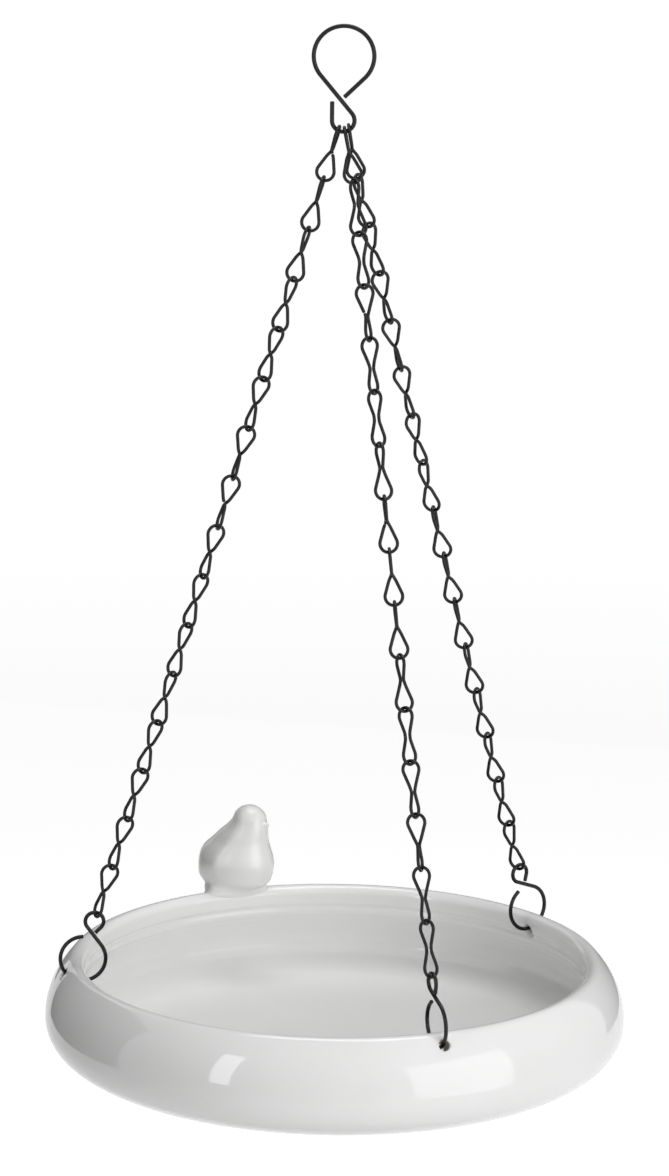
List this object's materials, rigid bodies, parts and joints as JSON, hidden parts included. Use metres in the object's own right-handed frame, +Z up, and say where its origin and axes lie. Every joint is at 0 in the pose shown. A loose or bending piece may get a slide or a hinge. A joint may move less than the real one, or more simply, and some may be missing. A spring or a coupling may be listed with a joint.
{
  "type": "hanging bird waterer",
  "caption": "Shallow round glazed bowl with a turned-in rim and a small bird on it, hung from an S-shaped hook by wire-link chains and rim hooks.",
  "frame": {"origin": "top of the inside of the top hook's upper loop, where it bears on what holds it up", "axes": "+Z up along the line the object hangs on, +X to the right in the picture, +Y away from the camera"},
  "size_m": [0.28, 0.28, 0.5021],
  "materials": {
    "bowl_glaze": "white glossy glaze",
    "bird_glaze": "white glossy glaze",
    "black_wire": "black coated steel wire, satin"
  },
  "bodies": {
    "hanger": {"top_hook": "black_wire"},
    "suspended_bowl": {"bowl": "bowl_glaze", "bird_figurine": "bird_glaze", "left_rim_hook": "black_wire", "front_rim_hook": "black_wire", "rear_rim_hook": "black_wire", "left_chain_link_01": "black_wire", "left_chain_link_02": "black_wire", "left_chain_link_03": "black_wire", "left_chain_link_04": "black_wire", "left_chain_link_05": "black_wire", "left_chain_link_06": "black_wire", "left_chain_link_07": "black_wire", "left_chain_link_08": "black_wire", "left_chain_link_09": "black_wire", "left_chain_link_10": "black_wire", "left_chain_link_11": "black_wire", "left_chain_link_12": "black_wire", "left_chain_link_13": "black_wire", "left_chain_link_14": "black_wire", "left_chain_link_15": "black_wire", "left_chain_link_16": "black_wire", "front_chain_link_01": "black_wire", "front_chain_link_02": "black_wire", "front_chain_link_03": "black_wire", "front_chain_link_04": "black_wire", "front_chain_link_05": "black_wire", "front_chain_link_06": "black_wire", "front_chain_link_07": "black_wire", "front_chain_link_08": "black_wire", "front_chain_link_09": "black_wire", "front_chain_link_10": "black_wire", "front_chain_link_11": "black_wire", "front_chain_link_12": "black_wire", "front_chain_link_13": "black_wire", "front_chain_link_14": "black_wire", "front_chain_link_15": "black_wire", "front_chain_link_16": "black_wire", "rear_chain_link_01": "black_wire", "rear_chain_link_02": "black_wire", "rear_chain_link_03": "black_wire", "rear_chain_link_04": "black_wire", "rear_chain_link_05": "black_wire", "rear_chain_link_06": "black_wire", "rear_chain_link_07": "black_wire", "rear_chain_link_08": "black_wire", "rear_chain_link_09": "black_wire", "rear_chain_link_10": "black_wire", "rear_chain_link_11": "black_wire", "rear_chain_link_12": "black_wire", "rear_chain_link_13": "black_wire", "rear_chain_link_14": "black_wire", "rear_chain_link_15": "black_wire", "rear_chain_link_16": "black_wire"}
  },
  "joints": [
    {"name": "sway", "type": "hinge", "parent": "hanger", "child": "suspended_bowl", "pos_m": [0, 0, -0.04852], "axis": [1, 0, 0], "range_deg": [-30, 30]}
  ]
}
